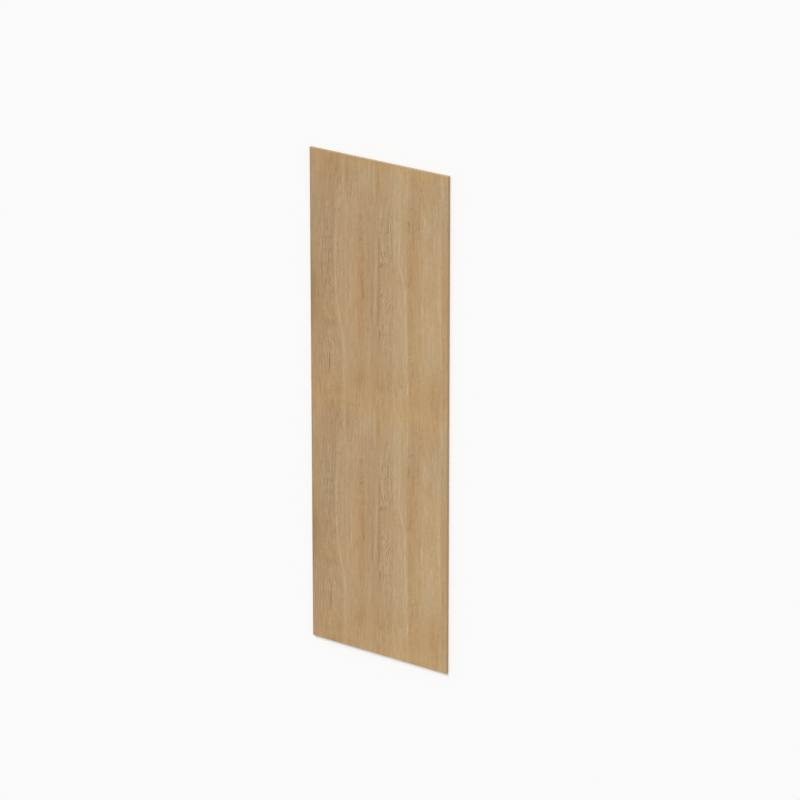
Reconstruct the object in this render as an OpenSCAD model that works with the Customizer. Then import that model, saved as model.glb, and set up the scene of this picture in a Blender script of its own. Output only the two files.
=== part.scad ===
// Plywood sheet with an oak face, lying flat with that face up.
// X runs across the face grain, Y along it and Z up through the plies.
// The origin is at the centre of the underside.

/* [Sheet] */
// Length along the face grain (mm)
sheet_length = 2032; // [600:1:3050]
// Width across the face grain (mm)
sheet_width = 660; // [200:1:1525]
// Thickness through all the plies (mm)
sheet_thickness = 12.7; // [6:0.1:40]

/* [Edges] */
// Radius that the sanded arrises are eased to (mm)
arris_radius = 0.8; // [0.2:0.1:2]

/* [Hidden] */
oak_tan = [0.72, 0.61, 0.45];
$fn = 48;

// Sawn cross-section as a 2D outline: it stands on the X axis, centred on it,
// and its four corners are eased to an arc.
module eased_section(width, height, radius) {
    translate([-width / 2, radius])
        square([width, height - 2 * radius]);
    translate([-width / 2 + radius, 0])
        square([width - 2 * radius, height]);
    for (side = [-1, 1], level = [radius, height - radius])
        translate([side * (width / 2 - radius), level])
            circle(r = radius);
}

// Bar of that section, centred on the origin and running along Y.
module eased_bar(width, height, radius, length) {
    translate([0, length / 2, 0])
        rotate([90, 0, 0])
            linear_extrude(height = length)
                eased_section(width, height, radius);
}

// The sheet is what a bar along the grain and a bar across it have in common,
// so all eight arrises are eased and mitre at the four square corners.
module plywood_sheet() {
    color(oak_tan)
        intersection() {
            eased_bar(sheet_width, sheet_thickness, arris_radius, sheet_length);
            rotate([0, 0, 90])
                eased_bar(sheet_length, sheet_thickness, arris_radius, sheet_width);
        }
}

plywood_sheet();
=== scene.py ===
# Looks of an oak-faced plywood sheet that lies flat: X across the grain, Y along it, the oak face up.
import math
import bmesh
import bpy
from mathutils import Matrix, Vector


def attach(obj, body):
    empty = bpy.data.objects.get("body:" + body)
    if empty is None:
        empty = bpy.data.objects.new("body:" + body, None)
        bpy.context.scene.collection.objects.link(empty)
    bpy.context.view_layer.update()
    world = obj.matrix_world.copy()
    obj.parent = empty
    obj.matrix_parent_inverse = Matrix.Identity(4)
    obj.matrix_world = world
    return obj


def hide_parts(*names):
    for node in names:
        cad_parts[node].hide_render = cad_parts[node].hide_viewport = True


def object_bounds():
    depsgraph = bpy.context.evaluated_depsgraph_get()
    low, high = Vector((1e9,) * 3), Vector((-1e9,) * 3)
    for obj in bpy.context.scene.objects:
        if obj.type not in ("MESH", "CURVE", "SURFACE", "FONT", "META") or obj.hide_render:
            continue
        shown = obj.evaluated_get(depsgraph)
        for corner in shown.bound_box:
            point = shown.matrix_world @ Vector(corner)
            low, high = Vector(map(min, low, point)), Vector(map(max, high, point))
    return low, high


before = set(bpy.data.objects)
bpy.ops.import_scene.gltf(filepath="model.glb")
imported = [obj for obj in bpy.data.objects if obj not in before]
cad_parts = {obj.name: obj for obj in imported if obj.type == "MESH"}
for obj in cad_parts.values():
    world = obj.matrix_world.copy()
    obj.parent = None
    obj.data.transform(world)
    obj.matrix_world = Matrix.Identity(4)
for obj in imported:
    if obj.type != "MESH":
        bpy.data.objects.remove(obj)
cadLow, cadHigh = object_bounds()

mm = 0.001    # the frame is in metres, the values below are in millimetres unless a note says otherwise
sheetWidth = (cadHigh.x - cadLow.x) / mm
sheetLength = (cadHigh.y - cadLow.y) / mm
sheetThickness = (cadHigh.z - cadLow.z) / mm
print("sheet of %.0f by %.0f by %.1f mm loaded" % (sheetLength, sheetWidth, sheetThickness))


class Wires:
    # adds nodes to one tree; every input may be a number, a colour or another node's socket
    def __init__(self, tree):
        self.tree = tree

    def feed(self, socket, value):
        if isinstance(value, bpy.types.NodeSocket):
            self.tree.links.new(value, socket)
        else:
            socket.default_value = value

    def node(self, kind, values, **settings):
        made = self.tree.nodes.new(kind)
        for name, setting in settings.items():
            setattr(made, name, setting)
        for place, value in values.items():
            self.feed(made.inputs[place], value)
        return made

    def math(self, operation, *values):
        return self.node("ShaderNodeMath", dict(enumerate(values)), operation=operation).outputs[0]

    def plus(self, first, second):
        return self.math("ADD", first, second)

    def minus(self, first, second):
        return self.math("SUBTRACT", first, second)

    def times(self, first, second):
        return self.math("MULTIPLY", first, second)

    def over(self, first, second):
        return self.math("DIVIDE", first, second)

    def timesPlus(self, first, second, third):
        return self.math("MULTIPLY_ADD", first, second, third)

    def vector(self, x, y, z):
        return self.node("ShaderNodeCombineXYZ", {0: x, 1: y, 2: z}).outputs[0]

    def parts(self, vector):
        return self.node("ShaderNodeSeparateXYZ", {0: vector}).outputs

    def ease(self, value, low, high, fromValue=0.0, toValue=1.0):
        values = {"Value": value, "From Min": low, "From Max": high, "To Min": fromValue, "To Max": toValue}
        return self.node("ShaderNodeMapRange", values, interpolation_type="SMOOTHSTEP").outputs[0]

    def noise(self, point, detail, roughness):
        # smooth noise around 0
        values = {"Vector": point, "Scale": 1.0, "Detail": detail, "Roughness": roughness}
        grey = self.node("ShaderNodeTexNoise", values, noise_dimensions="3D").outputs[0]
        return self.minus(grey, 0.5)

    def mix(self, amount, first, second):
        # the colours of a Mix node are its sockets 6 and 7, the mixed colour is output 2
        return self.node("ShaderNodeMix", {0: amount, 6: first, 7: second}, data_type="RGBA").outputs[2]

    def place(self, group, *row, **named):
        # a row fills the group's sockets in their order
        return self.node("ShaderNodeGroup", {**dict(enumerate(row)), **named}, node_tree=group).outputs


def startGroup(name, inputs, outputs):
    tree = bpy.data.node_groups.new(name, "ShaderNodeTree")
    for socketName in inputs:
        tree.interface.new_socket(name=socketName, in_out="INPUT", socket_type="NodeSocketFloat")
    for socketName in outputs:
        tree.interface.new_socket(name=socketName, in_out="OUTPUT", socket_type="NodeSocketFloat")
    taken = tree.nodes.new("NodeGroupInput").outputs
    given = tree.nodes.new("NodeGroupOutput").inputs
    return Wires(tree), taken, given


def startMaterial(name, **settings):
    material = bpy.data.materials.new(name)
    material.use_nodes = True
    shader = material.node_tree.nodes["Principled BSDF"]
    for socketName, value in settings.items():
        shader.inputs[socketName.replace("_", " ")].default_value = value
    return material, Wires(material.node_tree), shader


def addObject(name, data):
    made = bpy.data.objects.new(name, data)
    bpy.context.scene.collection.objects.link(made)
    return made


# The veneer leaves repeat along the sheet, so every pattern along it is read on a circle of that girth.
leafRepeat = 1000.0
loopRadius = leafRepeat / (2 * math.pi)


def sheetPlaceGroup():
    # millimetres from the left edge and from the head edge, and the place on the circle
    wires, _, given = startGroup("sheetPlace", [], ["Across", "Down", "LoopA", "LoopB"])
    x, y, _ = wires.parts(wires.tree.nodes.new("ShaderNodeTexCoord").outputs["Object"])
    down = wires.timesPlus(y, -1 / mm, sheetLength / 2)
    turn = wires.times(down, 1 / loopRadius)
    wires.feed(given["Across"], wires.timesPlus(x, 1 / mm, sheetWidth / 2))
    wires.feed(given["Down"], down)
    wires.feed(given["LoopA"], wires.times(wires.math("COSINE", turn), loopRadius))
    wires.feed(given["LoopB"], wires.times(wires.math("SINE", turn), loopRadius))
    return wires.tree


# A mark is a patch, a feather or a knot, and it comes back with every repeat.
markInputs = ["Across", "Down", "MiddleAcross", "MiddleDown", "HalfWidth", "HalfLength"]


def fromMiddle(wires, taken):
    # millimetres from the middle of the nearest copy of a mark
    aside = wires.minus(taken["Across"], taken["MiddleAcross"])
    along = wires.minus(taken["Down"], taken["MiddleDown"])
    return aside, wires.math("WRAP", along, leafRepeat / 2, -leafRepeat / 2)


def inHalves(wires, taken, aside, along):
    # both ways as shares of the half width and half length, and the square of the distance
    aside = wires.over(aside, taken["HalfWidth"])
    along = wires.over(along, taken["HalfLength"])
    return aside, along, wires.timesPlus(aside, aside, wires.times(along, along))


def softPatchGroup():
    # a soft slanted oval: Mask is 1 in its middle
    wires, taken, given = startGroup("softPatch", markInputs + ["Slope"], ["Mask"])
    aside, along = fromMiddle(wires, taken)
    aside = wires.minus(aside, wires.times(along, taken["Slope"]))
    _, _, reach = inHalves(wires, taken, aside, along)
    wires.feed(given["Mask"], wires.math("EXPONENT", wires.times(reach, -1.0)))
    return wires.tree


featherLook = {
    "swayTurn": 7.0,        # radians by which a line sways
    "swayRate": 0.45,       # change of that sway from line to line
    "swayLength": 45.0,
    "lineFoot": 0.25,       # the share of a wave's height that is left bare
    "breakRate": 1.1,       # change of the breaks from line to line
    "breakLength": 22.0,
    "breakLow": -0.16,      # noise at which a line is gone, and at which it is whole
    "breakHigh": 0.14,
    "ground": 0.09,         # taken off between the lines, so that a feather hardly darkens its leaf
    "fade": 0.8,
}


def featherGroup(look):
    # short broken slanted lines where the fibres dive under the surface
    wires, taken, given = startGroup("feather", markInputs + ["Slope", "Bend", "Spacing"], ["Lines"])
    aside, along = fromMiddle(wires, taken)
    lean = wires.timesPlus(wires.times(along, taken["Bend"]), 0.5, taken["Slope"])
    order = wires.over(wires.timesPlus(lean, along, aside), taken["Spacing"])
    swayPoint = wires.vector(wires.times(order, look["swayRate"]),
                             wires.times(along, 1 / look["swayLength"]), taken["MiddleAcross"])
    sway = wires.noise(swayPoint, detail=2.0, roughness=0.5)
    wave = wires.math("SINE", wires.timesPlus(sway, look["swayTurn"], wires.times(order, 2 * math.pi)))
    lines = wires.ease(wave, look["lineFoot"], 1.0)
    breakPoint = wires.vector(wires.times(order, look["breakRate"]),
                              wires.times(along, 1 / look["breakLength"]), taken["MiddleDown"])
    breaks = wires.noise(breakPoint, detail=2.0, roughness=0.6)
    lines = wires.times(lines, wires.ease(breaks, look["breakLow"], look["breakHigh"]))
    _, _, reach = inHalves(wires, taken, aside, along)
    mask = wires.math("EXPONENT", wires.times(reach, -look["fade"]))
    wires.feed(given["Lines"], wires.times(wires.minus(lines, look["ground"]), mask))
    return wires.tree


knotLook = {
    "bend": 0.7,            # how far the knot strays from an oval
    "bendRate": 0.7,
    "coreFull": 0.55,       # reach at which the core starts to fade, and at which it is gone
    "coreOver": 1.25,
    "spokeRate": 1.1,       # change of the drying checks round the knot and away from it
    "spokeReach": 0.5,
    "spokeSeed": 4.0,
    "checkWidth": 0.035,
    "ringRate": 8.5,
    "ringBend": 5.0,
    "ringFade": 0.22,
}


def knotGroup(look):
    # a small knot: Core is 1 inside, Rings run round it, Checks are its drying cracks
    wires, taken, given = startGroup("knot", markInputs, ["Core", "Rings", "Checks"])
    aside, along, reach = inHalves(wires, taken, *fromMiddle(wires, taken))
    bendPoint = wires.vector(wires.times(aside, look["bendRate"]), wires.times(along, look["bendRate"]), 0.0)
    bend = wires.noise(bendPoint, detail=2.0, roughness=0.5)
    reach = wires.timesPlus(bend, look["bend"], wires.math("SQRT", reach))
    core = wires.ease(reach, look["coreFull"], look["coreOver"], 1.0, 0.0)
    turn = wires.math("ARCTAN2", along, aside)
    spokePoint = wires.vector(wires.times(turn, look["spokeRate"]),
                              wires.times(reach, look["spokeReach"]), look["spokeSeed"])
    spokes = wires.math("ABSOLUTE", wires.noise(spokePoint, detail=1.0, roughness=0.5))
    checks = wires.ease(spokes, 0.0, look["checkWidth"], 1.0, 0.0)
    fade = wires.math("EXPONENT", wires.times(wires.times(reach, reach), -look["ringFade"]))
    rings = wires.math("SINE", wires.timesPlus(bend, look["ringBend"], wires.times(reach, look["ringRate"])))
    wires.feed(given["Core"], core)
    wires.feed(given["Rings"], wires.times(rings, fade))
    wires.feed(given["Checks"], wires.times(checks, core))
    return wires.tree


def loopPoint(wires, taken, side, length):
    # a noise point that runs round the circle of the repeat
    return wires.vector(side, wires.over(taken["LoopA"], length), wires.over(taken["LoopB"], length))


def grainWaveGroup():
    # how far the fibres stray sideways: long slow swings and a short ripple
    waveSizes = {"Swing": (90.0, 330.0), "Ripple": (22.0, 110.0)}    # width and length of each
    inputs = ["Across", "LoopA", "LoopB", "Swing", "Ripple", "Seed"]
    wires, taken, given = startGroup("grainWave", inputs, ["Shift"])
    shift = 0.0
    for name, (width, length) in waveSizes.items():
        point = loopPoint(wires, taken, wires.timesPlus(taken["Across"], 1 / width, taken["Seed"]), length)
        shift = wires.timesPlus(wires.noise(point, detail=1.0, roughness=0.5), taken[name], shift)
    wires.feed(given["Shift"], shift)
    return wires.tree


def grainLinesGroup():
    # lines along the fibres, about -0.5 to 0.5
    inputs = ["Flow", "LoopA", "LoopB", "LineWidth", "LineLength", "Seed"]
    wires, taken, given = startGroup("grainLines", inputs, ["Lines"])
    side = wires.plus(wires.over(taken["Flow"], taken["LineWidth"]), taken["Seed"])
    point = loopPoint(wires, taken, side, taken["LineLength"])
    wires.feed(given["Lines"], wires.noise(point, detail=2.0, roughness=0.6))
    return wires.tree


def openPoresGroup():
    # the short open vessels of oak: 1 in a pore
    poreRim, poreFloor = 0.16, 0.24    # noise at which a pore starts, and at which it is full
    inputs = ["Flow", "LoopA", "LoopB", "PoreWidth", "PoreLength", "Cover"]
    wires, taken, given = startGroup("openPores", inputs, ["Pores"])
    point = loopPoint(wires, taken, wires.over(taken["Flow"], taken["PoreWidth"]), taken["PoreLength"])
    spread = wires.noise(point, detail=1.0, roughness=0.4)
    wires.feed(given["Pores"], wires.ease(wires.plus(spread, taken["Cover"]), poreRim, poreFloor))
    return wires.tree


def oakColourGroup():
    # Tone makes the oak paler or deeper, Tint redder or greyer, Blush pinker or more olive
    shares = {"Red": (0.68, 1.0, 0.0), "Green": (1.0, 0.42, -1.0), "Blue": (1.34, -0.83, 0.0)}
    inputs = ["Tone", "Tint", "Blush", "Red", "Green", "Blue"]
    wires, taken, given = startGroup("oakColour", inputs, ["Red", "Green", "Blue"])
    for name, (toneShare, tintShare, blushShare) in shares.items():
        change = wires.timesPlus(taken["Tone"], toneShare, wires.times(taken["Tint"], tintShare))
        if blushShare:
            change = wires.timesPlus(taken["Blush"], blushShare, change)
        wires.feed(given[name], wires.times(wires.math("EXPONENT", change), taken[name]))
    return wires.tree


sheetPlace = sheetPlaceGroup()
softPatch = softPatchGroup()
feather = featherGroup(featherLook)
knot = knotGroup(knotLook)
grainWave = grainWaveGroup()
grainLines = grainLinesGroup()
openPores = openPoresGroup()
oakColour = oakColourGroup()
print("shared wood groups made")


def fibreFlow(wires, across, loop, wave):
    # the across coordinate carried along with the fibres
    return wires.plus(across, wires.place(grainWave, across, *loop, **wave)["Shift"])


def grainOf(wires, flow, loop, lines, seeds):
    # all widths of grain line together
    fine = 0.0
    for (width, length, contrast), seed in zip(lines, seeds):
        layer = wires.place(grainLines, flow, *loop, width, length, seed)["Lines"]
        fine = wires.timesPlus(layer, contrast, fine)
    return fine


def poresOf(wires, flow, loop, fine, make):
    cover = wires.timesPlus(fine, -make["gather"], make["cover"])
    return wires.place(openPores, flow, *loop, make["width"], make["length"], cover)["Pores"]


def finishWood(wires, shader, make, tone, tint, rough, height, blush=0.0):
    # colour, roughness and bump of a wood surface
    colour = wires.place(oakColour, tone, tint, blush, *make["colour"])
    mixed = wires.node("ShaderNodeCombineColor", dict(enumerate(colour)))
    relief = {"Strength": make["bump"], "Distance": make["bumpDepth"] * mm, "Height": height}
    bump = wires.node("ShaderNodeBump", relief)
    wires.feed(shader.inputs["Base Color"], mixed.outputs[0])
    wires.feed(shader.inputs["Roughness"], rough)
    wires.feed(shader.inputs["Normal"], bump.outputs[0])


def finishVeneer(wires, shader, make, tone, tint, fine, pores, blush=0.0):
    # pores are dark, rough and deep, the pale lines smooth and high
    tone = wires.timesPlus(pores, make["pores"]["tone"], tone)
    rough = wires.timesPlus(pores, make["pores"]["rough"], make["rough"])
    rough = wires.timesPlus(fine, -make["lineSheen"], rough)
    height = wires.minus(wires.times(fine, make["lineHeight"]), pores)
    finishWood(wires, shader, make, tone, tint, rough, height, blush)


# The oak face. Places are millimetres from the left edge and down from the head edge.
oakFace = {
    "colour": (0.441, 0.293, 0.1507),
    "rough": 0.56,
    "specular": 0.35,
    "bump": 0.25,
    "bumpDepth": 0.15,
    "wave": {"Swing": 7.0, "Ripple": 1.6, "Seed": 3.0},
    # fine lines that fray the leaf borders, and the patches a little more from leaf to leaf
    "fray": {"LineWidth": 3.2, "LineLength": 160.0, "Seed": 90.0},
    "frayBorder": 5.0,
    "frayAcross": (2.6, 0.1),    # on the first leaf, and what each next one adds
    "frayDown": (22.0, 1.0),
    # how strongly leaves, broad patches, narrow marks and feathers show
    "leafGain": 1.2,
    "broadGain": 1.2,
    "narrowGain": 1.7,
    "narrowBelow": 6.0,     # marks of a smaller half width or half length are narrow
    "featherGain": 2.1,
    # leaf: right-hand border, softness of that border, tone, tint
    "leaves": [
        (118, 4, -0.070, -0.022),
        (228, 14, 0.020, -0.012),
        (262, 3, -0.020, -0.008),
        (330, 4, -0.010, -0.022),
        (404, 6, 0.015, -0.015),
        (471, 3, 0.090, -0.004),
        (532, 9, -0.010, 0.025),
        (631, 4, 0.085, 0.004),
        (660, 3, 0.000, 0.014),
    ],
    # where leaf borders and fibres bow sideways: across, down, half width, half length, push
    "bows": [
        (150, 800, 60, 110, 34),
        (150, 985, 60, 120, 32),
        (368, 400, 40, 36, 14),
        (105, 690, 34, 34, 10),
        (440, 400, 30, 90, -10),
    ],
    # feathers: across, down, half width, half length, slope, bend, spacing, strength
    "feathers": [
        (90, 548, 34, 64, 0.60, 0.006, 11.5, 0.26),
        (366, 542, 34, 80, 0.58, -0.006, 10.5, 0.35),
        (247, 303, 13, 40, 0.60, 0.012, 10.5, 0.60),
        (254, 402, 9, 66, 0.70, 0.0, 10, 0.45),
        (484, 795, 12, 42, 0.75, -0.015, 10.5, 0.55),
        (511, 236, 17, 42, 0.85, 0.0, 12, 0.22),
        (198, 18, 24, 26, 0.75, 0.0, 15, 0.15),
        (236, 34, 14, 42, 0.36, 0.0, 14, 0.19),
        (372, 376, 32, 34, -0.50, -0.016, 10, 0.44),
        (238, 888, 24, 46, -0.45, 0.0, 10, 0.15),
        (617, 112, 12, 34, 0.95, 0.0, 18, 0.14),
        (74, 735, 22, 38, -0.45, 0.0, 11, 0.18),
        (374, 462, 28, 28, 1.20, 0.0, 11, 0.10),
        (488, 690, 12, 36, 0.60, 0.0, 10, 0.18),
        (360, 250, 20, 80, 0.14, 0.002, 9, 0.13),
        (388, 255, 16, 80, -0.10, 0.001, 9, 0.13),
        (92, 375, 30, 105, 0.09, 0.001, 9, 0.13),
        (78, 850, 34, 80, -0.08, 0.001, 10, 0.10),
        (372, 680, 30, 70, 0.10, 0.001, 9, 0.10),
        (300, 700, 26, 200, 0.05, 0.0, 8, 0.06),
        (170, 250, 40, 200, 0.05, 0.0, 8, 0.06),
        (540, 75, 15, 40, -0.35, 0.0, 9, 0.14),
    ],
    # knots: across, down, half width, half length, depth of the core
    "knots": [
        (343, 412, 7.5, 12, 0.26),
        (112, 686, 8, 8, 0.07),
    ],
    "knotRings": 0.05,
    "knotChecks": 0.22,
    # pink or, below 0, olive places: across, down, half width, half length, slope, blush
    "blush": [
        (243, 390, 13, 100, 0.05, 0.030),
        (251, 480, 10, 50, 0.1, 0.020),
        (245, 640, 12, 110, 0, 0.012),
        (482, 360, 11, 120, 0, 0.022),
        (482, 640, 9, 160, 0, 0.010),
        (560, 230, 120, 120, 0, 0.006),
        (50, 640, 75, 80, 0, -0.027),
        (100, 670, 40, 30, 0, -0.012),
        (155, 635, 14, 30, 0, -0.016),
        (430, 380, 24, 130, 0, -0.011),
        (310, 835, 18, 35, 0, -0.014),
        (440, 840, 20, 50, 0, -0.010),
        (330, 930, 420, 100, 0, -0.008),
        (610, 850, 40, 60, 0, -0.008),
    ],
    # where the lines stand out: across, down, half width, half length, extra contrast
    "streaky": [
        (84, 370, 44, 160, 1.0),
        (372, 255, 40, 90, 1.2),
        (370, 670, 40, 100, 0.7),
        (80, 800, 50, 110, 0.6),
        (372, 930, 40, 50, 0.7),
        (210, 100, 46, 80, 0.5),
    ],
    # soft patches by leaf: across, down, half width, half length, slope, tone, tint
    "patches": {
        "firstLeaf": [
            # the darker patches at across 4 and 20 near the left edge are painted shade
            (60, 330, 80, 230, 0, 0.0, -0.026), (4, 545, 24, 100, 0, -0.16, 0.010),
            (20, 610, 36, 110, 0, -0.09, 0.004), (70, 640, 56, 80, 0, -0.03, 0.006),
            (100, 810, 40, 70, 0, 0.06, 0.0), (95, 120, 26, 90, 0, -0.04, 0.014),
            (90, 360, 26, 40, 0, 0.05, 0.0), (100, 915, 50, 50, 0, 0.01, 0.016),
            (107, 22, 4, 26, 0, -0.19, 0.05), (76, 75, 3, 34, 0, -0.09, 0.01),
            (100, 105, 4, 8, 0, -0.09, 0.03), (88, 188, 7, 8, 0, -0.10, 0.0),
            (60, 60, 60, 75, 0, 0.0, 0.026), (30, 90, 7, 75, 0, 0.07, -0.01),
            (45, 55, 3, 50, 0, 0.06, 0.0), (57, 310, 2, 90, 0, 0.10, -0.01),
            (81, 300, 2.4, 80, 0, 0.12, -0.01), (90, 206, 7, 10, 0, 0.07, 0.0),
            (30, 360, 6, 14, 0, 0.07, 0.01), (87, 310, 3, 20, 0, -0.11, 0.0),
            (96, 348, 4, 6, 0, -0.11, 0.0), (110, 375, 4, 26, 0, -0.11, 0.0),
            (80, 396, 3, 10, 0, -0.19, 0.0), (96, 398, 3.5, 10, 0, -0.15, 0.0),
            (91, 440, 3, 26, 0, -0.18, 0.005), (77, 456, 4, 6, 0, -0.05, 0.0),
            (86, 474, 3, 10, 0, -0.16, 0.0), (95, 515, 4, 8, 0, -0.10, 0.0),
            (72, 534, 3, 16, -0.4, -0.10, 0.0), (110, 566, 4, 8, -0.9, -0.15, 0.01),
            (40, 590, 3, 26, 0, -0.08, 0.01), (75, 640, 45, 60, 0, 0.0, 0.012),
            (94, 697, 26, 15, 0, -0.10, 0.008), (119, 780, 3, 24, 0, -0.05, 0.0),
            (86, 775, 3, 26, 0.1, -0.11, 0.0), (53, 820, 5, 45, 0, -0.06, 0.0),
            (91, 845, 2.6, 36, 0, -0.40, 0.01), (106, 440, 2.6, 26, 0, -0.12, 0.0),
            (75, 850, 4, 40, 0, 0.10, 0.0), (86, 896, 2.6, 10, -0.3, -0.18, 0.01),
            (108, 915, 2.8, 24, -0.15, -0.12, 0.01), (102, 952, 5, 6, -0.6, -0.13, 0.02),
            (41, 940, 3, 28, 0.1, -0.10, 0.0), (46, 985, 3, 20, 0, -0.09, 0.0),
            (102, 972, 9, 3.5, 0, -0.20, 0.035), (94, 986, 8, 3.5, 0, -0.14, 0.03),
            # the darker patches at across 4 add more painted shade along the left edge
            (4, 415, 10, 60, 0, -0.06, 0.0), (4, 690, 9, 80, 0, -0.10, 0.004),
            (4, 860, 8, 140, 0, -0.05, 0.0), (88, 430, 14, 50, 0, 0.04, 0.0),
            (119, 560, 3.5, 36, 0, -0.07, 0.0), (107, 588, 10, 22, 0, 0.0, 0.012),
            (23, 227, 4, 22, 0, 0.05, 0.0), (115, 267, 5, 20, 0, 0.05, 0.0),
            (73, 8, 5, 14, 0, 0.05, 0.0),
        ],
        "secondLeaf": [
            (131, 342, 3.5, 20, -0.2, 0.10, -0.01), (121, 400, 3.5, 40, 0, 0.05, -0.01),
            (121, 490, 3.5, 45, 0, 0.12, -0.01), (128, 582, 3, 40, 0.12, 0.12, 0.0),
            (139, 648, 3.5, 30, 0.22, 0.11, 0.0), (150, 702, 4, 30, 0.2, 0.09, 0.0),
            (160, 755, 7, 36, 0.1, 0.09, -0.01), (166, 845, 12, 75, 0.03, 0.09, -0.012),
            (135, 75, 16, 50, 0, -0.08, -0.01), (195, 70, 30, 90, 0, -0.04, -0.012),
            (195, 640, 30, 90, 0, -0.01, 0.012), (195, 890, 28, 60, 0, -0.03, 0.012),
            (134, 800, 16, 60, 0, 0.05, 0.01), (141, 98, 4, 15, 0, -0.09, 0.0),
            (150, 106, 3, 16, 0, -0.08, 0.0), (160, 55, 6, 70, 0, 0.08, 0.0),
            (171, 205, 7, 65, 0.05, 0.06, -0.008), (179, 60, 7, 52, 0, -0.10, -0.01),
            (183, 160, 7, 26, 0, -0.10, 0.01), (141, 226, 4, 6, 0, -0.13, 0.005),
            (146, 392, 9, 5, 0, -0.09, 0.01), (135, 405, 7, 8, 0, -0.05, 0.0),
            (195, 570, 2.4, 38, 0, 0.15, 0.0), (195, 480, 2.2, 30, 0, 0.08, 0.0),
            (170, 400, 3, 60, 0, 0.06, 0.0), (145, 185, 4, 22, 0, 0.06, 0.0),
            (182, 650, 3.5, 40, 0, 0.06, -0.01), (150, 450, 3, 90, 0, 0.05, -0.005),
            (158, 8, 14, 16, 0, -0.05, 0.0), (157, 128, 4, 16, 0, -0.09, 0.0),
            (209, 701, 4, 16, 0, -0.06, 0.0), (122, 100, 5, 20, 0, 0.05, 0.0),
        ],
        "redTongue": [
            (246, 312, 14, 42, 0, -0.06, 0.008), (246, 470, 12, 42, 0.1, -0.09, 0.014),
            (254, 520, 6, 46, 0.1, -0.15, 0.045), (258, 553, 3.5, 9, 0, -0.24, 0.01),
            (256, 395, 5, 20, 0, -0.10, 0.025), (238, 520, 34, 220, 0, -0.01, 0.030),
            (246, 235, 4.5, 14, 0, -0.16, 0.025), (249, 200, 3, 14, 0, -0.06, 0.02),
            (258, 232, 3, 5, 0, -0.16, 0.01), (248, 155, 4, 8, 0, -0.08, 0.0),
            (246, 620, 16, 90, 0, -0.10, 0.018), (246, 75, 18, 50, 0, 0.05, -0.014),
            (246, 180, 18, 60, 0, 0.0, -0.014), (248, 880, 16, 50, 0, -0.05, 0.016),
            (226, 592, 5, 16, 0, -0.14, 0.015), (238, 710, 5, 32, 0, -0.03, 0.02),
            (248, 790, 14, 60, 0, -0.03, 0.012), (232, 908, 30, 56, 0, -0.12, 0.024),
            (198, 940, 20, 34, 0, -0.04, 0.015), (214, 832, 4, 10, 0, -0.02, 0.035),
            (219, 838, 3, 14, 0, 0.08, -0.02),
        ],
        "thirdLeaf": [
            (283, 430, 16, 140, 0, -0.05, 0.0), (322, 860, 20, 80, 0, -0.06, 0.018),
            (282, 750, 16, 60, 0, 0.0, -0.012), (290, 80, 36, 60, 0, 0.06, 0.004),
            (318, 590, 20, 150, 0, -0.05, 0.011), (285, 270, 24, 120, 0, 0.0, -0.010),
            (296, 850, 34, 90, 0, 0.0, 0.015), (301, 470, 6, 90, -0.05, -0.07, 0.002),
            (297, 600, 5, 55, 0.05, -0.10, 0.004), (318, 430, 4.5, 130, 0, 0.10, -0.004),
            (313, 590, 4.5, 65, 0, 0.11, 0.0), (278, 680, 3.5, 9, 0, -0.11, 0.0),
            (273, 765, 4, 9, 0, -0.08, 0.0), (283, 765, 12, 60, 0, 0.06, -0.008),
            (310, 85, 4.5, 45, 0, 0.08, -0.012), (287, 60, 5, 70, 0, 0.05, 0.0),
            (262, 75, 7, 50, 0, 0.05, 0.0), (327, 90, 6, 10, 0, -0.09, 0.02),
            (331, 70, 12, 75, 0, -0.09, 0.024), (325, 890, 20, 60, 0, -0.07, 0.010),
        ],
        "fourthLeaf": [
            (352, 80, 30, 70, 0, -0.03, 0.03), (372, 290, 34, 95, 0, 0.02, -0.016),
            (375, 890, 30, 60, 0, -0.02, -0.004), (378, 80, 22, 50, 0, 0.05, 0.0),
            (392, 480, 13, 170, 0, 0.04, 0.0), (378, 690, 30, 110, 0, 0.0, -0.018),
            (335, 330, 4.5, 34, 0, -0.16, 0.015), (333, 460, 5, 100, 0, -0.145, 0.005),
            (331, 610, 5.5, 65, 0, -0.14, 0.0), (337, 690, 5, 18, 0, -0.17, 0.010),
            (338, 760, 6, 34, 0, -0.06, 0.0), (346, 322, 2.8, 28, 0.08, 0.11, -0.01),
            (341, 207, 3, 22, 0, 0.11, -0.01), (375, 250, 4.5, 36, -0.1, -0.14, 0.0),
            (379, 195, 3, 10, -0.3, -0.10, 0.0), (356, 190, 3, 22, 0, -0.08, 0.0),
            (350, 248, 3, 9, 0, -0.11, 0.0), (374, 325, 2.6, 26, 0, -0.10, 0.0),
            (385, 235, 3, 26, 0, 0.07, -0.01), (387, 312, 3, 35, 0, 0.03, -0.01),
            (396, 310, 3, 36, 0, -0.08, 0.0), (380, 362, 3, 10, 0.3, -0.11, 0.0),
            (387, 381, 3, 7, 0.7, -0.18, 0.0), (350, 370, 3, 8, 0.5, -0.14, 0.0),
            (345, 413, 11, 16, 0, -0.07, 0.040), (356, 412, 9, 8, 0, -0.05, 0.01),
            (374, 412, 18, 6, 0, -0.03, 0.0), (362, 540, 32, 120, 0, 0.01, 0.010),
            (363, 466, 12, 22, 0, 0.06, 0.0), (345, 534, 4, 9, -0.8, -0.24, 0.0),
            (386, 566, 3.5, 14, -0.35, -0.20, 0.0), (378, 592, 3, 12, -0.2, -0.10, 0.0),
            (366, 690, 4, 7, 0, -0.16, 0.0), (350, 700, 2.8, 22, 0, -0.08, 0.0),
            (378, 665, 2.2, 36, 0, 0.06, -0.01), (403, 742, 2.6, 36, 0, 0.09, -0.01),
            (340, 648, 3.2, 16, 0, 0.09, -0.012), (375, 842, 3, 26, 0, -0.17, 0.0),
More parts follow.
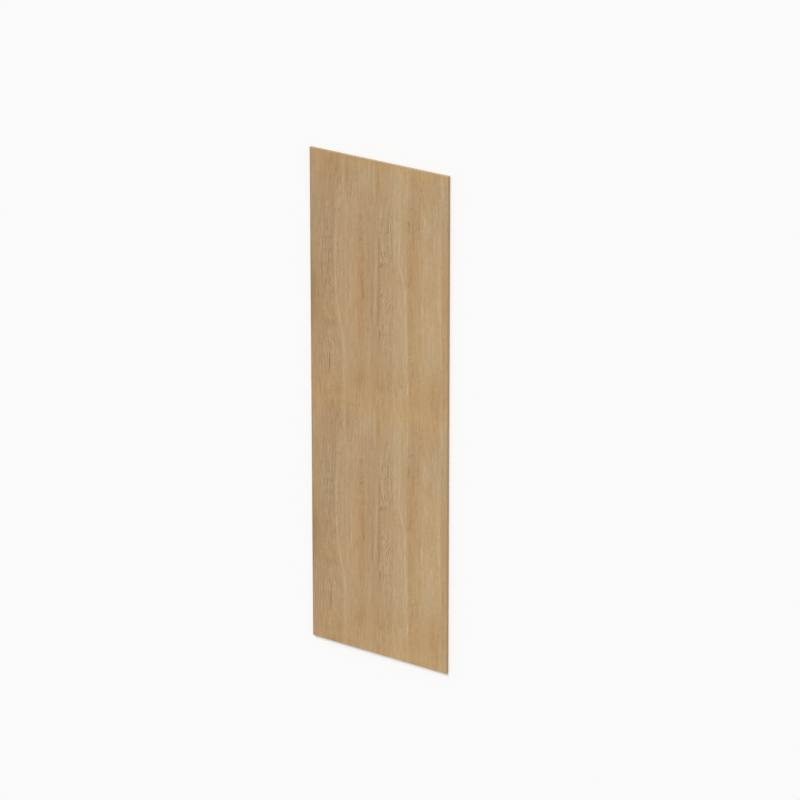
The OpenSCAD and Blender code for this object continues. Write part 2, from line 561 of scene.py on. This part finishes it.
            (388, 850, 3, 10, 0, -0.08, 0.0), (389, 40, 2.8, 22, 0, 0.17, -0.012),
            (347, 916, 4, 15, 0.1, -0.09, 0.012), (350, 955, 4, 10, 0.2, -0.08, 0.01),
            (356, 976, 4, 10, 0, -0.08, 0.0), (366, 915, 20, 34, 0, -0.06, 0.01),
            (408, 910, 4, 10, 0, -0.10, 0.0), (352, 30, 5, 14, 0, -0.06, 0.01),
            (367, 140, 5, 5, -0.6, -0.09, 0.0),
        ],
        "fifthLeaf": [
            (472, 55, 8, 75, 0, 0.08, -0.004), (425, 150, 26, 130, 0, 0.04, -0.016),
            (431, 335, 4, 48, 0, 0.12, -0.004), (440, 425, 3.6, 40, 0.24, 0.13, -0.004),
            (455, 508, 3.4, 46, 0.1, 0.11, -0.004), (461, 620, 3.8, 55, 0.05, 0.09, -0.004),
            (464, 705, 5.5, 40, 0.02, 0.08, -0.008), (470, 775, 3, 34, 0, 0.11, -0.004),
            (464, 828, 3.2, 22, 0.2, 0.07, -0.004), (458, 756, 6, 26, 0, 0.07, -0.006),
            (471, 892, 3.6, 46, 0, 0.145, -0.008), (441, 582, 2.6, 26, 0, 0.07, -0.004),
            (465, 460, 3, 28, 0, -0.06, 0.0), (412, 440, 14, 55, 0, -0.06, 0.004),
            (458, 290, 13, 150, 0, -0.045, -0.006), (424, 860, 24, 70, 0, -0.045, 0.006),
            (455, 965, 16, 40, 0, -0.02, -0.004), (420, 330, 8, 30, 0, -0.05, 0.0),
            (443, 885, 3, 10, 0, -0.22, 0.004), (432, 868, 3, 9, 0, -0.15, 0.004),
            (436, 920, 5, 26, 0, 0.06, -0.008), (424, 960, 40, 60, 0, -0.03, 0.006),
            (437, 6, 5, 14, 0, -0.09, 0.0), (433, 158, 5, 20, 0, -0.06, 0.0),
            (447, 713, 4, 18, 0, -0.05, 0.0), (410, 667, 6, 30, 0, 0.0, -0.012),
            (473, 1000, 5, 30, 0, 0.0, -0.012),
        ],
        "sixthLeaf": [
            (490, 300, 18, 150, 0, -0.08, 0.010), (494, 130, 28, 150, 0, 0.03, -0.037),
            (515, 205, 14, 60, 0, -0.05, 0.0), (516, 650, 15, 110, 0, 0.04, 0.0),
            (488, 585, 13, 92, 0, -0.07, 0.014), (475, 222, 3.6, 13, 0, -0.19, 0.04),
            (476, 250, 5, 8, 0, -0.08, 0.02), (498, 270, 4.5, 40, 0, -0.08, 0.01),
            (491, 157, 4, 6, -0.9, -0.18, 0.0), (508, 170, 14, 10, 0, -0.05, 0.01),
            (485, 440, 3.2, 22, 0, -0.19, 0.035), (475, 466, 4, 8, 0, -0.20, 0.045),
            (475, 445, 3, 30, 0, -0.06, 0.01), (492, 400, 3.4, 26, 0, -0.10, 0.028),
            (476, 405, 3, 14, 0, -0.10, 0.02), (498, 422, 3, 14, 0, -0.12, 0.028),
            (515, 335, 7, 9, 0, -0.03, 0.035), (503, 480, 3, 14, 0, -0.08, 0.02),
            (477, 617, 6, 5, 0, -0.14, 0.04), (493, 625, 6, 18, 0, -0.09, 0.02),
            (479, 725, 4, 13, 0, -0.08, 0.01), (487, 733, 4, 16, 0, 0.05, 0.0),
            (486, 870, 4, 20, 0, -0.14, 0.025), (482, 906, 4, 11, 0, -0.16, 0.028),
            (488, 945, 5, 20, 0, -0.09, 0.02), (517, 825, 3, 10, 0, -0.08, 0.03),
            (501, 65, 9, 42, 0, -0.10, 0.015), (493, 120, 6, 26, 0, -0.09, 0.01),
            (518, 560, 14, 260, 0, 0.03, -0.004),
        ],
        "seventhLeaf": [
            (541, 45, 3, 18, 0, -0.12, 0.015), (536, 76, 4, 9, 0.3, -0.15, 0.0),
            (532, 111, 3, 9, 0, -0.12, 0.0), (548, 100, 8, 70, 0, -0.05, 0.01),
            (551, 140, 5, 10, 0, -0.07, 0.0), (580, 60, 50, 80, 0, -0.06, 0.008),
            (551, 203, 3, 14, 0, 0.15, -0.015), (620, 400, 6.5, 130, 0, 0.10, -0.016),
            (624, 550, 7, 90, 0.02, 0.10, -0.008), (631, 700, 3.4, 60, 0, 0.08, -0.005),
            (557, 310, 6, 60, 0, 0.05, -0.012), (558, 410, 6, 60, 0, 0.04, -0.008),
            (540, 553, 3, 26, 0.03, 0.13, -0.015), (536, 650, 2.6, 24, 0, 0.10, -0.01),
            (532, 515, 2.4, 22, 0, -0.08, 0.015), (616, 637, 3, 7, 0, -0.12, 0.03),
            (580, 305, 4, 6, 0, -0.06, 0.0), (594, 460, 3, 20, 0, -0.06, 0.008),
            (575, 665, 30, 85, 0, 0.05, -0.006), (585, 742, 40, 40, 0, 0.02, -0.026),
            (588, 205, 52, 90, 0, -0.012, -0.026), (590, 880, 60, 60, 0, -0.01, 0.020),
            (619, 255, 7, 45, 0, 0.06, -0.010), (556, 590, 22, 70, 0, 0.04, 0.0),
            (610, 960, 26, 50, 0, -0.05, -0.010), (612, 810, 22, 32, 0, -0.05, 0.008),
            (571, 795, 3, 6, 0, -0.10, 0.0), (533, 798, 3, 26, -0.1, 0.065, -0.01),
            (546, 855, 2.4, 24, 0, 0.07, -0.004), (606, 890, 30, 66, 0, -0.12, 0.010),
            (558, 910, 45, 78, 0, -0.08, 0.018), (590, 866, 4, 24, -0.1, -0.08, 0.015),
            (585, 926, 3, 14, 0, -0.11, 0.01), (607, 975, 6, 9, 0, -0.07, 0.025),
            (601, 26, 5, 20, -0.1, -0.11, 0.02), (637, 190, 2.4, 16, 0, -0.09, 0.0),
        ],
        "lastLeaf": [
            (638, 72, 5, 30, 0, 0.14, -0.03), (634, 25, 4.5, 30, 0, 0.075, 0.0),
            (619, 70, 9, 60, 0, -0.06, -0.006), (646, 140, 14, 170, 0, 0.085, -0.046),
            (645, 985, 14, 45, 0, 0.015, -0.018), (650, 410, 14, 90, 0, -0.03, 0.017),
            (648, 555, 13, 80, 0, -0.07, 0.024), (641, 700, 4, 34, 0, -0.03, 0.01),
            (631, 965, 6, 50, 0, 0.06, -0.004), (646, 910, 5, 22, 0, -0.09, 0.01),
        ],
    },
    # the warm end of every repeat: where it starts, is full and stops again, tint at the left and right edge
    "warmEnd": {"start": 850.0, "full": 975.0, "fading": 1034.0, "over": 1046.0,
                "left": 0.041, "right": 0.044, "fray": 30.0},
    # grain lines: line width, line length, contrast
    "lines": [(15.0, 420.0, 0.07), (8.0, 300.0, 0.10), (4.4, 190.0, 0.30), (5.0, 44.0, 0.24),
              (5.5, 14.0, 0.27), (2.2, 70.0, 0.46), (0.9, 40.0, 0.28)],
    "seedStep": 7.0,
    "lineSheen": 0.6,       # how much smoother a pale line is
    "lineHeight": 2.0,      # how high a pale line is, in depths of a pore
    # pores gather in the darker lines
    "pores": {"width": 0.40, "length": 8.0, "cover": 0.035, "gather": 0.4, "tone": -0.20, "rough": 0.2},
}


def patchMask(wires, spot, oval):
    return wires.place(softPatch, *spot, *oval)["Mask"]


def patchSum(wires, spot, rows, total=0.0, gain=1.0):
    # every row ends in the amount that its patch adds
    for *oval, amount in rows:
        total = wires.timesPlus(patchMask(wires, spot, oval), amount * gain, total)
    return total


def leafTones(wires, flow, leaves, gain):
    # steps from leaf to leaf
    tone, tint = leaves[0][2] * gain, leaves[0][3] * gain
    for (border, soft, fromTone, fromTint), (_, _, toTone, toTint) in zip(leaves, leaves[1:]):
        step = wires.ease(flow, border - soft, border + soft)
        tone = wires.timesPlus(step, (toTone - fromTone) * gain, tone)
        tint = wires.timesPlus(step, (toTint - fromTint) * gain, tint)
    return tone, tint


def frayedSpot(wires, spot, fray, count, make):
    # the spot as the patches of one leaf see it
    amounts = [first + more * count for first, more in (make["frayAcross"], make["frayDown"])]
    return [wires.timesPlus(fray, amount, way) for amount, way in zip(amounts, spot)]


def leafPatches(wires, spot, patches, make):
    tone, tint = 0.0, 0.0
    for *oval, toneChange, tintChange in patches:
        mask = patchMask(wires, spot, oval)
        _, _, halfWidth, halfLength, _ = oval
        isNarrow = min(halfWidth, halfLength) < make["narrowBelow"]
        gain = make["narrowGain"] if isNarrow else make["broadGain"]
        if toneChange:
            tone = wires.timesPlus(mask, toneChange * gain, tone)
        if tintChange:
            tint = wires.timesPlus(mask, tintChange * gain, tint)
    return tone, tint


def addWarmEnd(wires, across, down, make, tint):
    wrapped = wires.math("WRAP", down, leafRepeat * 1.5, leafRepeat * 0.5)
    rise = wires.ease(wrapped, make["start"], make["full"])
    fall = wires.ease(wrapped, make["fading"], make["over"], 1.0, 0.0)
    slant = wires.timesPlus(across, (make["right"] - make["left"]) / sheetWidth, make["left"])
    return wires.timesPlus(wires.times(rise, fall), slant, tint)


def featherSum(wires, spot, make):
    total = 0.0
    for *values, strength in make["feathers"]:
        lines = wires.place(feather, *spot, *values)["Lines"]
        total = wires.timesPlus(lines, -strength * make["featherGain"], total)
    return total


def addKnots(wires, spot, make, tone):
    for *oval, depth in make["knots"]:
        core, rings, checks = wires.place(knot, *spot, *oval)
        tone = wires.timesPlus(core, -depth, tone)
        tone = wires.timesPlus(rings, make["knotRings"], tone)
        tone = wires.timesPlus(checks, -make["knotChecks"], tone)
    return tone


def oakFaceMaterial(make):
    material, wires, shader = startMaterial("oakFaceVeneer", Specular_IOR_Level=make["specular"])
    across, down, *loop = wires.place(sheetPlace)
    spot = (across, down)
    flow = patchSum(wires, spot, make["bows"], fibreFlow(wires, across, loop, make["wave"]), -1.0)
    fray = wires.place(grainLines, flow, *loop, **make["fray"])["Lines"]
    frayedFlow = wires.timesPlus(fray, make["frayBorder"], flow)
    tone, tint = leafTones(wires, frayedFlow, make["leaves"], make["leafGain"])
    # every leaf has a sum and a fray of its own, because the renderer has no room for one long sum
    for count, patches in enumerate(make["patches"].values()):
        leafTone, leafTint = leafPatches(wires, frayedSpot(wires, spot, fray, count, make), patches, make)
        tone = wires.plus(tone, leafTone)
        tint = wires.plus(tint, leafTint)
    frayedDown = wires.timesPlus(fray, make["warmEnd"]["fray"], down)
    tint = addWarmEnd(wires, across, frayedDown, make["warmEnd"], tint)
    tone = wires.plus(tone, featherSum(wires, spot, make))
    tone = addKnots(wires, spot, make, tone)
    seeds = [make["seedStep"] * count for count in range(len(make["lines"]))]
    fine = grainOf(wires, flow, loop, make["lines"], seeds)
    pores = poresOf(wires, flow, loop, fine, make["pores"])
    tone = wires.timesPlus(fine, patchSum(wires, spot, make["streaky"], 1.0), tone)
    blush = patchSum(wires, spot, make["blush"])
    finishVeneer(wires, shader, make, tone, tint, fine, pores, blush)
    return material


# The back veneer: plain straight oak, less figured than the face.
backVeneer = {
    "colour": (0.45, 0.31, 0.17),
    "rough": 0.62,
    "bump": 0.25,
    "bumpDepth": 0.15,
    "wave": {"Swing": 26.0, "Ripple": 5.0, "Seed": 41.0},
    "leafWidth": 165.0,
    "leafTone": 0.05,       # how far the leaves differ
    "leafTurn": 2.4,        # radians from leaf to leaf on the wave that they differ by
    "leafSeed": 13.0,
    "firstSeed": 60.0,
    "lines": [(16.0, 500.0, 0.30), (4.5, 260.0, 0.22), (1.3, 90.0, 0.14)],
    "lineTint": -0.1,
    "lineSheen": 0.0,
    "lineHeight": 2.0,
    "pores": {"width": 0.42, "length": 9.0, "cover": 0.01, "gather": 0.0, "tone": -0.18, "rough": 0.2},
}


def backVeneerMaterial(make):
    material, wires, shader = startMaterial("oakBackVeneer", Roughness=make["rough"])
    across, _, *loop = wires.place(sheetPlace)
    flow = fibreFlow(wires, across, loop, make["wave"])
    leaf = wires.math("FLOOR", wires.times(across, 1 / make["leafWidth"]))
    leafTone = wires.times(wires.math("SINE", wires.times(leaf, make["leafTurn"])), make["leafTone"])
    firstSeeds = [make["firstSeed"] + count for count in range(len(make["lines"]))]
    seeds = [wires.timesPlus(leaf, make["leafSeed"], first) for first in firstSeeds]
    fine = grainOf(wires, flow, loop, make["lines"], seeds)
    pores = poresOf(wires, flow, loop, fine, make["pores"])
    tint = wires.times(fine, make["lineTint"])
    finishVeneer(wires, shader, make, wires.plus(leafTone, fine), tint, fine, pores)
    return material


def edgePlaceGroup():
    # on a sawn edge: the way along that edge and the level above the underside, in millimetres
    wires, _, given = startGroup("edgePlace", [], ["Along", "Level"])
    coordinates = wires.tree.nodes.new("ShaderNodeTexCoord").outputs
    x, y, z = wires.parts(coordinates["Object"])
    normalX, _, _ = wires.parts(coordinates["Normal"])
    sideways = wires.math("GREATER_THAN", wires.math("ABSOLUTE", normalX), 0.5)
    along = wires.timesPlus(sideways, wires.minus(y, x), x)
    wires.feed(given["Along"], wires.times(along, 1 / mm))
    wires.feed(given["Level"], wires.times(z, 1 / mm))
    return wires.tree


def sawnPlyGroup():
    # Marks are long fibres or end-cut vessels, by their length; Drift is a slow change of colour
    driftLength, driftHeight = 140.0, 1.5
    inputs = ["Along", "Level", "MarkHeight", "MarkLength", "Seed"]
    wires, taken, given = startGroup("sawnPly", inputs, ["Marks", "Drift"])
    point = wires.vector(wires.over(taken["Along"], taken["MarkLength"]),
                         wires.over(taken["Level"], taken["MarkHeight"]), taken["Seed"])
    wires.feed(given["Marks"], wires.noise(point, detail=3.0, roughness=0.65))
    slow = wires.vector(wires.times(taken["Along"], 1 / driftLength),
                        wires.times(taken["Level"], 1 / driftHeight), taken["Seed"])
    wires.feed(given["Drift"], wires.noise(slow, detail=1.0, roughness=0.5))
    return wires.tree


edgePlace = edgePlaceGroup()
sawnPly = sawnPlyGroup()

# The plies on the sawn edges: those that run along an edge are pale, those cut across are deeper.
plyFinish = {
    "longPly": {"colour": (0.59, 0.41, 0.215), "rough": 0.6, "markHeight": 0.25, "markLength": 24.0,
                "contrast": 0.50, "seed": 5.0},
    "endPly": {"colour": (0.46, 0.302, 0.152), "rough": 0.75, "markHeight": 0.55, "markLength": 0.40,
               "contrast": 0.75, "seed": 23.0},
    "glueLine": {"colour": (0.25, 0.145, 0.068), "rough": 0.5, "markHeight": 0.2, "markLength": 6.0,
                 "contrast": 0.4, "seed": 71.0},
}
everyPly = {"drift": 0.45, "driftTint": 0.08, "markSheen": 0.3, "bump": 0.3, "bumpDepth": 0.1}


def plyMaterial(name, make):
    material, wires, shader = startMaterial(name, Roughness=make["rough"])
    along, level = wires.place(edgePlace)
    marks, drift = wires.place(sawnPly, along, level, make["markHeight"], make["markLength"], make["seed"])
    tone = wires.timesPlus(marks, make["contrast"], wires.times(drift, make["drift"]))
    rough = wires.timesPlus(marks, -make["markSheen"], make["rough"])
    finishWood(wires, shader, make, tone, wires.times(drift, make["driftTint"]), rough, marks)
    return material


materials = {"face": oakFaceMaterial(oakFace), "back": backVeneerMaterial(backVeneer)}
for plyName, finish in plyFinish.items():
    materials[plyName] = plyMaterial(plyName, {**everyPly, **finish})
materialPlaces = {name: place for place, name in enumerate(materials)}
print("oak, back and edge materials made")

# The sheet's mesh: flat faces, eased arrises, and plies that part at fine glue grooves round the edge.
sheetMake = {
    "arris": 0.8,
    "arrisSteps": 5,
    "veneer": 0.95,        # face and back veneer, with the eased arris
    "corePlies": 7,
    "grooveHalf": 0.11,    # half the mouth of a glue groove
    "grooveFloor": 0.05,   # half its floor
    "grooveDepth": 0.10,
    "wander": 0.13,        # how far a glue line strays from level
    "wanderWaves": [(5, 0.5), (13, 0.3), (37, 0.2)],    # waves round the sheet, share of the wander
    "wanderTurn": 0.37,    # share of the way round that each glue line is ahead of the one above
    "step": 20.0,          # longest mesh step along an edge
}


def edgeRows(make):
    # rows from the face down to the back: level, inset, glue line that moves it, band below the row
    arris = make["arris"]
    angles = [math.pi / 2 * step / make["arrisSteps"] for step in range(make["arrisSteps"] + 1)]
    lowArris = [(arris * (1 - math.sin(angle)), arris * (1 - math.cos(angle))) for angle in angles]
    rows = [(sheetThickness - level, inset, None, "face") for level, inset in reversed(lowArris)]
    plyHeight = (sheetThickness - 2 * make["veneer"]) / make["corePlies"]
    for line in range(make["corePlies"] + 1):
        level = sheetThickness - make["veneer"] - line * plyHeight
        below = "back" if line == make["corePlies"] else line + 1
        rows.append((level + make["grooveHalf"], 0.0, line, "glueLine"))
        rows.append((level + make["grooveFloor"], make["grooveDepth"], line, "glueLine"))
        rows.append((level - make["grooveFloor"], make["grooveDepth"], line, "glueLine"))
        rows.append((level - make["grooveHalf"], 0.0, line, below))
    rows += [(level, inset, None, "back") for level, inset in lowArris]
    return rows


def glueWander(line, along, make):
    # gentle drift of one glue line round the whole edge; the outer two stay level
    if line in (None, 0, make["corePlies"]):
        return 0.0
    turns = along / (2 * (sheetWidth + sheetLength)) + make["wanderTurn"] * line
    waves = [share * math.sin(2 * math.pi * count * turns) for count, share in make["wanderWaves"]]
    return make["wander"] * sum(waves)


def addRing(bm, level, inset, line, counts, make):
    # points round the sheet, along the foot, the right, the head and the left edge
    corners = [(-1, -1), (1, -1), (1, 1), (-1, 1)]
    halfX, halfY = sheetWidth / 2 - inset, sheetLength / 2 - inset
    ring = []
    walked = 0.0
    for side, (cornerX, cornerY) in enumerate(corners):
        nextX, nextY = corners[(side + 1) % 4]
        count = counts[side % 2]
        sideLength = (sheetWidth, sheetLength)[side % 2]
        for step in range(count):
            share = step / count
            x = halfX * (cornerX + (nextX - cornerX) * share)
            y = halfY * (cornerY + (nextY - cornerY) * share)
            z = level + glueWander(line, walked + share * sideLength, make)
            ring.append(bm.verts.new((x * mm, y * mm, z * mm)))
        walked += sideLength
    return ring


# Columns of the bake map for both faces and the four sides: left, right, low and high shares of the square
bakeColumns = {
    "face": (0.004, 0.556, 0.004, 0.996),
    "back": (0.564, 0.796, 0.004, 0.996),
    1: (0.804, 0.860, 0.004, 0.996),
    3: (0.868, 0.924, 0.004, 0.996),
    0: (0.932, 0.988, 0.004, 0.496),
    2: (0.932, 0.988, 0.504, 0.996),
}


def onColumn(place, across, along):
    left, right, low, high = bakeColumns[place]
    return (left + (right - left) * across, low + (high - low) * along)


def bandMaterial(band, side):
    # odd plies run across the sheet, so they show end grain on the long edges and long grain at the ends
    if band in materialPlaces:
        return materialPlaces[band]
    runsAlongEdge = (band % 2 == 1) == (side % 2 == 0)
    return materialPlaces["longPly" if runsAlongEdge else "endPly"]


def addBands(bm, uvLayer, rows, rings, counts):
    total = len(rings[0])
    lastRow = len(rows) - 1
    for row in range(lastRow):
        (_, _, line, band), (_, _, nextLine, _) = rows[row:row + 2]
        upper, lower = rings[row:row + 2]
        start = 0
        for side in range(4):
            span = counts[side % 2]
            for step in range(span):
                here = start + step
                after = (here + 1) % total
                face = bm.faces.new((upper[after], upper[here], lower[here], lower[after]))
                face.material_index = bandMaterial(band, side)
                face.smooth = line is None and nextLine is None    # only the arrises are round
                shares = [(row, step + 1), (row, step), (row + 1, step), (row + 1, step + 1)]
                for loop, (rowPlace, stepPlace) in zip(face.loops, shares):
                    loop[uvLayer].uv = onColumn(side, rowPlace / lastRow, stepPlace / span)
            start += span


def addCap(bm, uvLayer, ring, counts, place):
    # a flat face inside a ring, as a grid whose border is that ring
    countX, countY = counts
    border = [(column, 0) for column in range(countX)]
    border += [(countX, row) for row in range(countY)]
    border += [(countX - column, countY) for column in range(countX)]
    border += [(0, countY - row) for row in range(countY)]
    grid = dict(zip(border, ring))
    low, high = grid[(0, 0)].co, grid[(countX, countY)].co
    for column in range(1, countX):
        for row in range(1, countY):
            x = low.x + (high.x - low.x) * column / countX
            y = low.y + (high.y - low.y) * row / countY
            grid[(column, row)] = bm.verts.new((x, y, low.z))
    for column in range(countX):
        for row in range(countY):
            spots = [(column, row), (column + 1, row), (column + 1, row + 1), (column, row + 1)]
            if place == "back":
                spots.reverse()
            face = bm.faces.new([grid[spot] for spot in spots])
            face.material_index = materialPlaces[place]
            for loop, (across, along) in zip(face.loops, spots):
                loop[uvLayer].uv = onColumn(place, across / countX, along / countY)


def buildSheet(make):
    counts = [math.ceil(side / make["step"]) for side in (sheetWidth, sheetLength)]
    rows = edgeRows(make)
    bm = bmesh.new()
    uvLayer = bm.loops.layers.uv.new("OFBake")
    rings = [addRing(bm, level, inset, line, counts, make) for level, inset, line, _ in rows]
    addBands(bm, uvLayer, rows, rings, counts)
    addCap(bm, uvLayer, rings[0], counts, "face")
    addCap(bm, uvLayer, rings[-1], counts, "back")
    mesh = bpy.data.meshes.new("oakPlywoodSheet")
    bm.to_mesh(mesh)
    bm.free()
    for material in materials.values():
        mesh.materials.append(material)
    return addObject("oak_plywood_sheet", mesh)


sheet = buildSheet(sheetMake)
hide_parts("plywood_sheet")
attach(sheet, "root")
print("sheet meshed with %d faces" % len(sheet.data.polygons))

# Pale floor, soft key light from beyond the head edge, even light all round
stageMake = {
    "floorHalf": 40.0,      # metres
    "floorDrop": 0.0004,    # metres below the sheet, so that they don't touch
    "floorColour": (0.95, 0.95, 0.95, 1.0),
    "floorRough": 0.9,
    "floorSpecular": 0.0,   # no gloss, which would show as a step at the far end
    "backdrop": (0.957, 0.957, 0.957, 1.0),
    "roundLight": (0.47, 0.47, 0.47, 1.0),
    "keyStrength": 2.35,
    "keyHeight": 46.0,      # degrees above the floor
    "keySoftness": 35.0,    # degrees across
}


def addFloor(make):
    half = make["floorHalf"]
    mesh = bpy.data.meshes.new("paleFloor")
    places = [(-half, -half), (half, -half), (half, half), (-half, half)]
    mesh.from_pydata([(x, y, -make["floorDrop"]) for x, y in places], [], [(0, 1, 2, 3)])
    material, _, _ = startMaterial("paleFloor", Base_Color=make["floorColour"],
                                   Roughness=make["floorRough"], Specular_IOR_Level=make["floorSpecular"])
    mesh.materials.append(material)
    floor = addObject("pale_floor", mesh)


def addLights(make):
    world = bpy.data.worlds.new("studioRound")
    bpy.context.scene.world = world
    world.use_nodes = True
    wires = Wires(world.node_tree)
    path = world.node_tree.nodes.new("ShaderNodeLightPath").outputs
    seen = wires.plus(path["Is Camera Ray"], path["Is Glossy Ray"])
    seen = wires.plus(seen, path["Is Transmission Ray"])
    colour = wires.mix(seen, make["roundLight"], make["backdrop"])
    wires.feed(world.node_tree.nodes["Background"].inputs["Color"], colour)
    key = bpy.data.lights.new("headKey", "SUN")
    key.energy = make["keyStrength"]
    key.angle = math.radians(make["keySoftness"])
    lamp = addObject("headKey", key)
    height = math.radians(make["keyHeight"])
    shines = Vector((0.0, -math.cos(height), -math.sin(height)))
    lamp.rotation_euler = shines.to_track_quat("-Z", "Y").to_euler()


addFloor(stageMake)
addLights(stageMake)
print("floor and lights set")

# The camera looks down on the sheet, with the sheet's length upright in the picture; its places are in metres
viewMake = {
    "stand": (9.755, 5.894, 12.953),
    "aim": (0.104, 0.075, 0.0127),
    "lens": 200.0,
    "sensor": 36.0,
    "clipEnd": 200.0,       # metres
}


def addCamera(make):
    camera = bpy.data.cameras.new("viewCamera")
    camera.lens = make["lens"]
    camera.sensor_width = make["sensor"]
    camera.clip_end = make["clipEnd"]
    viewer = addObject("viewCamera", camera)
    stand, aim = Vector(make["stand"]), Vector(make["aim"])
    back = (stand - aim).normalized()
    right = Vector((0.0, 1.0, 0.0)).cross(back).normalized()
    up = back.cross(right)
    turn = Matrix((right, up, back)).transposed().to_4x4()
    viewer.matrix_world = Matrix.Translation(stand) @ turn
    bpy.context.scene.camera = viewer


addCamera(viewMake)
bpy.context.scene.view_settings.view_transform = "Standard"
print("camera set")
